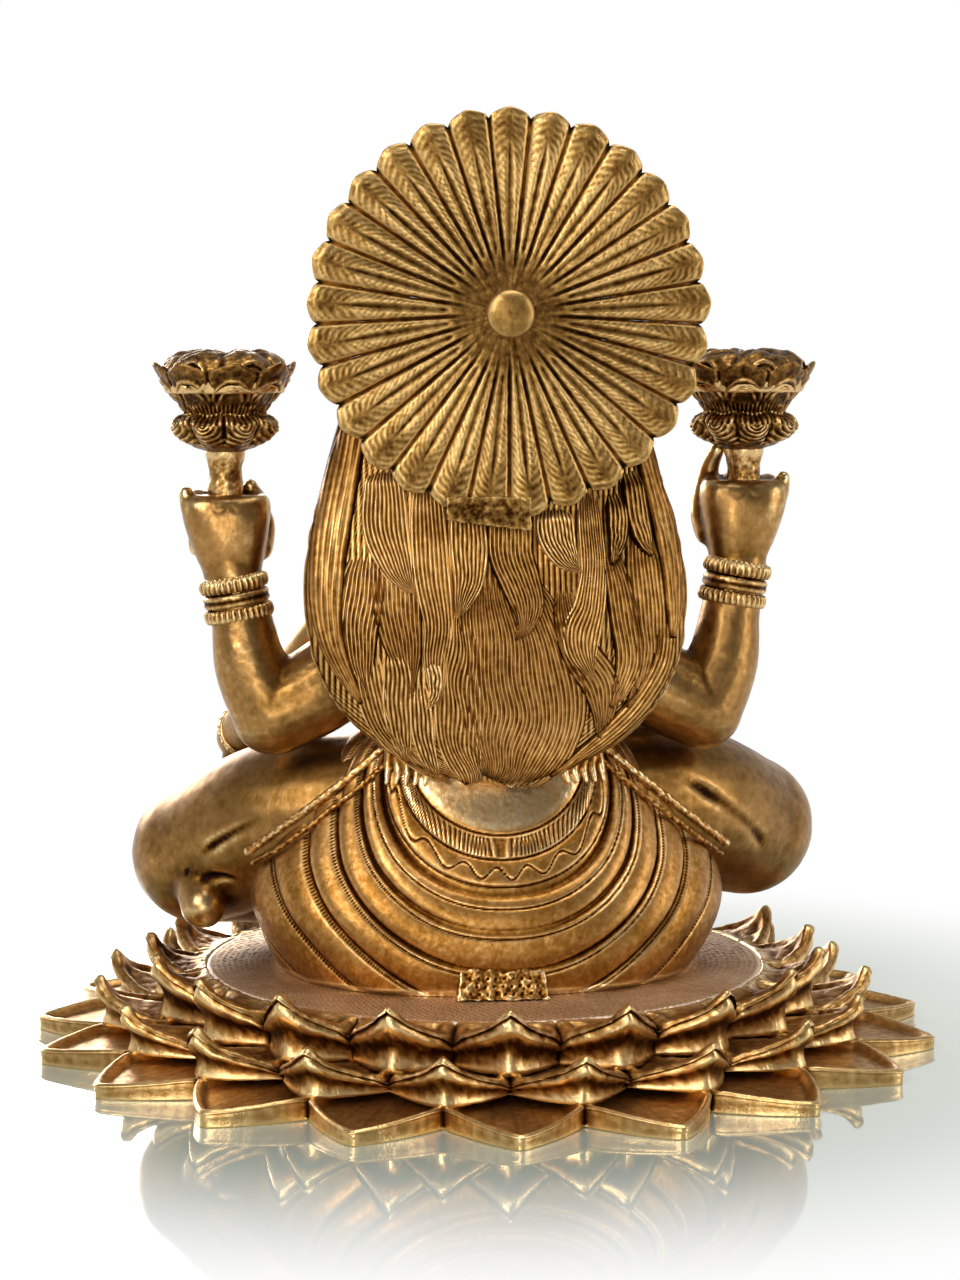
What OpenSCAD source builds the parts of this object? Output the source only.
// Seated four-armed deity in cast brass on a three-tier lotus pedestal, with a turning halo.
// Millimetres. Origin at the centre of the pedestal's underside, +Z up, the figure faces -Y.
// "left" and "right" are the figure's own: its left hand is on the +X side.

/* [Pedestal] */
// Petals in each of the three tiers
petal_count = 19; // [18:1:20]
// Distance across the points of the bottom tier
base_d = 203; // [198:1:204]
// Distance across the notches between the bottom petals
notch_d = 172; // [168:1:176]
// Thickness of the star plate at its filed edge
plate_t = 5.2; // [4.8:0.1:5.6]
// Height of the stippled seat above the floor
seat_z = 16.5; // [16:0.1:17]
// Diameter of the seat disc
seat_d = 126; // [124:1:127]
// Diameter of the hollow under the seat
hollow_d = 116; // [112:1:118]
// Angle of the first bottom petal from the rear centre line
petal_turn = 2; // [0:0.5:9]

/* [Figure] */
// Gap between the seat and the figure that stands on it
seat_gap = 0.1; // [0.1:0.05:0.3]
// Distance across the outsides of the knees
knee_span = 159; // [156:1:160]
// Height of the middle of the knees
knee_z = 43; // [42.5:0.5:44]
// Height of the waist, where the torso joins the draped hips
waist_z = 72; // [71:0.5:73]
// Height of the rear hands' wrists
wrist_z = 96; // [95:0.5:97]
// Distance of the rear wrists from the middle
wrist_x = 56; // [55:0.5:57]
// Diameter of the two locating pegs
peg_d = 5; // [4:0.5:6]

/* [Halo] */
// Diameter of the halo over its petal tips
halo_d = 87; // [84:1:88]
// Petals round the halo
halo_petals = 29; // [24:1:32]
// Thickness of the halo at the rim
halo_t = 2.2; // [2:0.1:2.4]
// Height of the halo's centre above the floor
halo_z = 161.7; // [161:0.1:162.5]
// Sideways place of the halo's centre
halo_x = -2.2; // [-2.5:0.1:0]
// Diameter of the domed stud's head
stud_d = 10.3; // [9:0.1:11]
// Diameter of the stud's shank
shank_d = 3; // [2.6:0.1:3.2]
// Diameter of the clearance hole through the halo, hidden by the stud's head
halo_hole_d = 6.6; // [6:0.1:7]

/* [Hand lotuses] */
// Width of each bloom
bloom_d = 31; // [29:0.5:32]
// Petals round each bloom
bloom_petals = 10; // [9:1:12]
// Petals round each calyx
calyx_petals = 8; // [8:1:10]

/* [Hidden] */

cast_fn = 18;             // facets on the cast limbs
finger_fn = 10;           // facets on the fingers
petal_fn = 8;             // facets on the petals' rounded corners
ring_fn = 76;             // facets on the petal rings' collars
petal_step = 360 / petal_count;
collar_z = 10.5;          // top of the middle tier's collar
seat_t = 4;               // thickness of the seat disc
seat_base_z = seat_z - seat_t;
hem_z = seat_z + seat_gap;
seat_r = seat_d / 2;
hollow_r = hollow_d / 2;
middle_tip_r = 88;
middle_tip_z = 15.2;
inner_tip_r = 77;
inner_tip_z = 22.6;
knee_r = 16.5;
knee_x = knee_span / 2 - knee_r;
knee_y = -19;
peg_x = 22;
peg_clearance = 0.2;
peg_depth = 6;
wrist_y = 8;
fist_z = wrist_z + 20;    // middle of the closed rear hands
hand_lean = 10;           // outward lean of the rear wrists in degrees
stem_r = 4.2;
calyx_z = 131;            // underside of the calyx
bloom_z = 139.6;          // underside of the bloom
bloom_top_z = 154;
halo_front_y = 29;
halo_back_y = halo_front_y + halo_t;
halo_gap = 0.15;          // running gap on each side of the halo
boss_r = 6;
boss_start_y = 20;
stud_reach = 8;           // length of the shank inside the boss
running_gap = 0.1;        // radial clearance round the stud's shank
lug_w = 14;
lug_reach = 4;
crown_y = -3;

// Cross-sections of the draped hips: height, half width, half depth, middle in depth
drape_sections = [
    [hem_z, 46.5, 40, 0], [24, 50, 41.5, 0], [33, 51.2, 40.5, 0], [42, 48.5, 36.5, 0],
    [50, 43, 32.5, 0], [58, 36.5, 28.5, 0], [65, 31, 25.5, 0.5], [70, 27.5, 23.5, 1],
    [waist_z, 25, 21, 1]];
// Cross-sections of the torso and neck
torso_sections = [
    [waist_z, 22, 17, 0], [80, 20.5, 15.5, 0], [88, 23, 16.5, 0], [96, 27, 17, 0],
    [102, 28.5, 15.5, 0.5], [108, 24, 12.5, 1], [112, 14, 10, 1], [115, 8.5, 8.5, 0.5],
    [123, 7.5, 7.5, 0]];
// Cross-sections of the mass of hair: height, half width, half depth, middle in depth
hair_sections = [
    [60.5, 3, 1.8, 29.4], [64, 15, 2.6, 29.4], [70, 26.5, 3.6, 28.4], [78, 34.5, 5.5, 27],
    [88, 39.8, 8, 25], [98, 41.2, 9.5, 23], [108, 41, 10, 20.5], [118, 39, 11, 17],
    [134, 34, 12.5, 15], [148, 27, 12, 14], [160, 20, 10, 13], [168, 10, 6, 11]];
hair_x = -0.4;

// ---- shared shapes ----
module slice(s) {
    translate([0, s[3], s[0]]) scale([s[1], s[2], 1]) cylinder(r = 1, h = 0.02, $fn = 40);
}
module sections(list) {
    for (i = [0 : len(list) - 2]) hull() {
        slice(list[i]);
        slice(list[i + 1]);
    }
}
module ball(p, facets = cast_fn) {
    translate([p[0], p[1], p[2]]) sphere(r = p[3], $fn = facets);
}
module limb(points) {
    for (i = [0 : len(points) - 2]) hull() {
        ball(points[i]);
        ball(points[i + 1]);
    }
}
module around(count, turn = 0) {
    for (i = [0 : count - 1]) rotate(90 - turn - i * 360 / count) children();
}
function star(count, tip_r, waist_r, turn) = [
    for (i = [0 : count - 1]) for (k = [0 : 3])
        let (a = 90 - turn - (i + [-0.5, -0.26, 0, 0.26][k]) * 360 / count,
             r = [waist_r, waist_r + 0.62 * (tip_r - waist_r), tip_r,
                  waist_r + 0.62 * (tip_r - waist_r)][k])
        [r * cos(a), r * sin(a)]];

// ---- pedestal ----
// Flat star-shaped casting, open in the middle
module base_plate() {
    color("#b5883c") difference() {
        linear_extrude(plate_t) polygon(star(petal_count, base_d / 2, notch_d / 2, petal_turn));
        translate([0, 0, -1]) cylinder(r = hollow_r, h = plate_t + 2, $fn = 96);
    }
}

// Upturned petal that grows outward from a collar
module pedestal_petal(root_r, root_z, root_h, root_w, belly, tip) {
    hull() {
        translate([root_r, -root_w / 2, root_z]) cube([4, root_w, root_h]);
        for (side = [-1, 1])
            translate([belly[0], side * belly[1], belly[2]]) sphere(r = belly[3], $fn = petal_fn);
        translate([tip[0], 0, tip[1]]) sphere(r = tip[2], $fn = petal_fn);
    }
}

module collar(outer_r, z0, z1) {
    difference() {
        translate([0, 0, z0]) cylinder(r = outer_r, h = z1 - z0, $fn = ring_fn);
        translate([0, 0, z0 - 1]) cylinder(r = hollow_r, h = z1 - z0 + 2, $fn = ring_fn);
    }
}

module middle_petal_ring() {
    color("#a97a30") {
        collar(74, plate_t, collar_z);
        around(petal_count, petal_turn + petal_step / 2)
            pedestal_petal(68, plate_t, collar_z - plate_t, 22, [78.5, 7.2, 8.6, 2.6],
                [middle_tip_r - 1.6, middle_tip_z - 1.6, 1.6]);
    }
}

module inner_petal_ring() {
    color("#b08236") {
        collar(67, collar_z, seat_base_z);
        around(petal_count, petal_turn)
            pedestal_petal(seat_r + 0.7, collar_z, 5.6, 19, [71.5, 6.2, 16, 2.4],
                [inner_tip_r - 1.6, inner_tip_z - 1.6, 1.6]);
    }
}

// Seat with the two holes that take the figure's pegs
module seat_disc() {
    color("#a9814a") difference() {
        translate([0, 0, seat_base_z]) cylinder(r = seat_r, h = seat_t, $fn = 96);
        for (side = [-1, 1])
            translate([side * peg_x, 0, seat_base_z - 1])
                cylinder(d = peg_d + 2 * peg_clearance, h = seat_t + 2, $fn = 32);
    }
}

// ---- lower body ----
module hip_drape() {
    color("#b98b3e") sections(drape_sections);
}

// Stub of the casting's gate at the rear of the hem
module rear_tab() {
    color("#9c7336") difference() {
        hull() {
            translate([-10, 34, hem_z]) cube([20, 10, 2.4]);
            translate([-9, 34, hem_z]) cube([18, 7.5, 6]);
        }
        sections(drape_sections);
    }
}

module locating_pegs() {
    color("#b98b3e") for (side = [-1, 1])
        translate([side * peg_x, 0, hem_z - peg_depth]) cylinder(d = peg_d, h = peg_depth, $fn = 32);
}

// Thigh, knee and shin of the folded left leg, with the cloth lobe that hangs behind the knee
module left_leg_form() {
    limb([[26, 3, 50, 20], [46, -6, 47, 18.5], [knee_x, knee_y, knee_z - 4, knee_r],
        [32, -38, 30, 11.5], [2, -46, 26, 8.5]]);
    limb([[62, -6, 34, 7], [63, 2, 29, 4.6]]);
}
module right_leg_form() {
    limb([[-26, 3, 50, 20], [-46, -6, 49, 18.5], [-knee_x, knee_y, knee_z, knee_r],
        [-32, -35, 40, 11.5], [0, -38, 45, 8.5]]);
}
module left_leg() {
    color("#b5893f") difference() {
        left_leg_form();
        sections(drape_sections);
    }
}
module right_leg() {
    color("#b5893f") difference() {
        right_leg_form();
        sections(drape_sections);
        left_leg_form();
    }
}
// The soles of both feet turn up on the opposite thighs
module left_foot_form() {
    limb([[-10, -47, 27, 6.5], [-28, -47, 31, 6], [-38, -45, 34, 4.5]]);
}
module left_foot() {
    color("#c09548") difference() {
        left_foot_form();
        left_leg_form();
        right_leg_form();
        sections(drape_sections);
    }
}
module right_foot() {
    color("#c09548") difference() {
        limb([[9, -39, 46, 6.5], [26, -37, 50, 6], [35, -34, 53, 4.5]]);
        right_leg_form();
        left_leg_form();
        sections(drape_sections);
    }
}
// Fan of skirt pleats spread on the seat in front of the shins
module skirt_pleats() {
    color("#b98b3e") difference() {
        for (i = [-4 : 4]) rotate(i * 7) hull() {
            translate([-1.2, -48, hem_z]) cube([2.4, 3, 3]);
            translate([-2.6, -59, hem_z]) cube([5.2, 2, 2.2]);
        }
        left_leg_form();
        right_leg_form();
        left_foot_form();
    }
}

// ---- upper body ----
module torso() {
    color("#bd9146") difference() {
        union() {
            sections(torso_sections);
            for (side = [-1, 1]) ball([side * 10, -12, 95, 8]);
        }
        translate([0, 0, -1]) cube([200, 200, 2 * (waist_z + 0.01) + 2], center = true);
    }
}

module head_form() {
    hull() {
        ball([0, 0, 146, 13.5]);
        ball([0, -4, 137, 12]);
        ball([0, -7, 130, 7.5]);
    }
    hull() {
        ball([0, -14.5, 142, 1.2]);
        ball([0, -16.5, 135.5, 2]);
    }
}
module head() {
    color("#c09548") difference() {
        head_form();
        sections(torso_sections);
        crown_form();
    }
}
module crown_profile() {
    polygon([[0, 151], [15.5, 151], [16, 154], [14.5, 157], [15, 160], [12.5, 164], [13, 167],
        [9.5, 173], [10, 175.5], [6, 182], [6, 184], [2.5, 188], [2.6, 191], [0, 193]]);
}
module crown_form() {
    translate([0, crown_y, 0]) rotate_extrude($fn = 64) crown_profile();
}
module crown() {
    color("#c79a49") crown_form();
}
module hair() {
    color("#a97b35") difference() {
        translate([hair_x, 0, 0]) sections(hair_sections);
        sections(torso_sections);
        sections(drape_sections);
        head_form();
        crown_form();
        rear_arm_space(1);
        rear_arm_space(-1);
        translate([halo_x, boss_start_y, halo_z]) rotate([-90, 0, 0])
            cylinder(r = boss_r, h = 30, $fn = 64);
    }
}
module earrings() {
    color("#c79a49") for (side = [-1, 1]) translate([side * 15.5, -2, 130])
        rotate([0, 90, 0]) cylinder(r = 4, h = 2.4, center = true, $fn = 32);
}
module necklace() {
    color("#c79a49") translate([0, -3, 109]) rotate([32, 0, 0])
        rotate_extrude($fn = 64) translate([14.5, 0]) circle(r = 1.5, $fn = 24);
}

// ---- arms ----
// The right hand is held a little higher than the left
function hand_rise(side) = side > 0 ? -1.2 : 1.2;
module rear_arm_form(side) {
    rise = hand_rise(side);
    limb([[side * 19, 7, 92, 10.5], [side * 38, 10.5, 79, 10], [side * 48, 11, 74, 9.2],
        [side * 52.5, 9.5, 85, 8.2], [side * (wrist_x - 1.6), wrist_y, wrist_z, 6.4],
        [side * (wrist_x + 0.4), wrist_y - 1, wrist_z + 11, 6.4]]);
    hull() {
        ball([side * (wrist_x + 0.6), wrist_y - 1.5, wrist_z + 14 + rise, 6.6]);
        for (dx = [-4.4, 4.4])
            ball([side * (wrist_x + 1.5) + dx, wrist_y - 2, fist_z + 3.4 + rise, 5.8]);
    }
}
module rear_arm_space(side) {
    limb([[side * 19, 7, 92, 10.8], [side * 38, 10.5, 79, 10.3], [side * 48, 11, 74, 9.5],
        [side * 53, 9.5, 86, 8.5]]);
}
module rear_arm(side) {
    color("#b98f49") difference() {
        rear_arm_form(side);
        sections(torso_sections);
        sections(drape_sections);
        translate([side * (wrist_x + 1.5), wrist_y - 2, fist_z - 6])
            cylinder(r = stem_r, h = 30, $fn = 48);
    }
}
module rear_left_arm() { rear_arm(1); }
module rear_right_arm() { rear_arm(-1); }

module fingers(root, tip, spread) {
    for (i = [-1.5 : 1.5]) hull() {
        ball([root[0] + i * spread, root[1], root[2], 2], finger_fn);
        ball([tip[0] + i * spread, tip[1], tip[2] - abs(i) * sign(tip[2] - root[2]), 1.7], finger_fn);
    }
}
// Left hand held low in the giving gesture, palm forward
module front_left_arm() {
    color("#b98f49") difference() {
        union() {
            limb([[25, -1, 99, 8.5], [36, -6, 86, 8], [43, -14, 75, 7.4], [50, -32, 68, 6.4],
                [54, -42, 62, 5.4]]);
            hull() {
                ball([54.5, -45.5, 58, 4.2]);
                ball([51.5, -47, 49, 3.6]);
                ball([58.5, -47, 49, 3.6]);
            }
            fingers([55, -47.4, 47], [55, -48, 34.5], 3.2);
        }
        sections(torso_sections);
        rear_arm_form(1);
        left_leg_form();
    }
}
// Right hand raised in the blessing gesture, palm forward
module front_right_arm() {
    color("#b98f49") difference() {
        union() {
            limb([[-25, -1, 99, 8.5], [-36, -6, 86, 8], [-42, -14, 75, 7.4], [-39, -30, 83, 6.4],
                [-37, -38, 92, 5.4]]);
            hull() {
                ball([-37, -40, 95, 4.4]);
                ball([-33.5, -41, 104, 3.8]);
                ball([-40.5, -41, 104, 3.8]);
            }
            fingers([-37, -41.2, 106], [-37, -42, 118.5], 3.2);
        }
        sections(torso_sections);
        rear_arm_form(-1);
    }
}
// Three bands at each rear wrist: ribbed, plain, ribbed
module bangles(side) {
    color("#c79a49") for (band = [0 : 2])
        translate([side * (wrist_x - 0.6), wrist_y - 0.5, wrist_z + 5 + hand_rise(side)])
            rotate([0, side * hand_lean, 0]) translate([0, 0, band * 3.3 - 4.9]) difference() {
                cylinder(r = band == 1 ? 7.4 : 7.8, h = 3.1, $fn = 48);
                translate([0, 0, -1]) cylinder(r = 6.8, h = 6, $fn = 48);
            }
}
module left_bangles() { bangles(1); }
module right_bangles() { bangles(-1); }

// ---- hand lotuses ----
module at_hand(side) {
    translate([side * (wrist_x + 1.5), wrist_y - 2, 0]) children();
}
module stem(side) {
    color("#a97b35") at_hand(side) translate([0, 0, fist_z - 6])
        cylinder(r = stem_r, h = calyx_z + 1 - (fist_z - 6), $fn = 48);
}
module left_stem() { stem(1); }
module right_stem() { stem(-1); }
// Eight or so petals that curl downward round the stem
module calyx(side) {
    color("#b08236") difference() {
        at_hand(side) {
            translate([0, 0, calyx_z + 1]) cylinder(r = 6.5, h = bloom_z - calyx_z - 1, $fn = 32);
            around(calyx_petals) hull() {
                translate([5, 0, bloom_z - 2]) sphere(r = 2, $fn = petal_fn);
                translate([9, 0, bloom_z - 3.4]) sphere(r = 2.8, $fn = petal_fn);
                translate([11.6, 0, calyx_z + 1.4]) sphere(r = 1.2, $fn = petal_fn);
            }
        }
        translate([0, 0, bloom_z]) at_hand(side) cylinder(r = 20, h = 10, $fn = 16);
    }
}
module left_calyx() { calyx(1); }
module right_calyx() { calyx(-1); }
// Open cup of pointed petals
module bloom(side) {
    color("#a97b35") difference() {
        at_hand(side) {
            translate([0, 0, bloom_z]) cylinder(r1 = 8, r2 = 12, h = 9, $fn = 32);
            around(bloom_petals) hull() {
                translate([6, 0, bloom_z + 2]) sphere(r = 2, $fn = petal_fn);
                translate([11, 0, bloom_z + 6]) sphere(r = 3.2, $fn = petal_fn);
                translate([bloom_d / 2 - 1.2, 0, bloom_top_z - 1.2]) sphere(r = 1.2, $fn = petal_fn);
            }
        }
        translate([0, 0, bloom_z - 10]) at_hand(side) cylinder(r = 20, h = 10, $fn = 16);
    }
}
module left_bloom() { bloom(1); }
module right_bloom() { bloom(-1); }

// ---- halo and its fixing ----
module along_stud(y) {
    translate([halo_x, y, halo_z]) rotate([-90, 0, 0]) children();
}
module halo_boss() {
    color("#b08236") difference() {
        along_stud(boss_start_y) cylinder(r = boss_r, h = halo_front_y - halo_gap - boss_start_y, $fn = 64);
        along_stud(boss_start_y + 1) cylinder(d = shank_d + 2 * running_gap, h = 20, $fn = 48);
    }
}
// Scalloped disc of narrow petals with a casting lug at its foot
module halo_disc() {
    color("#ad8540") difference() {
        along_stud(halo_front_y) rotate(180) linear_extrude(halo_t) union() {
            polygon([for (i = [0 : halo_petals - 1]) for (k = [0 : 3])
                let (a = (i + [-0.5, -0.27, 0, 0.27][k]) * 360 / halo_petals + 90,
                     r = halo_d / 2 - [1.9, 0.5, 0, 0.5][k])
                [r * cos(a), r * sin(a)]]);
            translate([-lug_w / 2 - 3, -halo_d / 2 - lug_reach + 1]) square([lug_w, 12]);
        }
        along_stud(halo_front_y - 1) cylinder(d = halo_hole_d, h = halo_t + 2, $fn = 48);
    }
}
// Domed stud whose shank passes through the halo into the boss
module halo_stud() {
    color("#c9a35a") {
        along_stud(halo_back_y + halo_gap) rotate_extrude($fn = 64) polygon(concat([[0, 0]],
            [for (i = [0 : 8]) let (a = i * 90 / 8)
                [stud_d / 2 * cos(a), 0.7 + 2.5 * sin(a)]]));
        along_stud(halo_front_y - stud_reach)
            cylinder(d = shank_d, h = stud_reach + halo_t + halo_gap + 0.6, $fn = 48);
    }
}

base_plate();
middle_petal_ring();
inner_petal_ring();
seat_disc();
hip_drape();
rear_tab();
locating_pegs();
left_leg();
right_leg();
left_foot();
right_foot();
skirt_pleats();
torso();
head();
hair();
crown();
earrings();
necklace();
rear_left_arm();
rear_right_arm();
front_left_arm();
front_right_arm();
left_bangles();
right_bangles();
left_stem();
right_stem();
left_calyx();
right_calyx();
left_bloom();
right_bloom();
halo_boss();
halo_disc();
halo_stud();
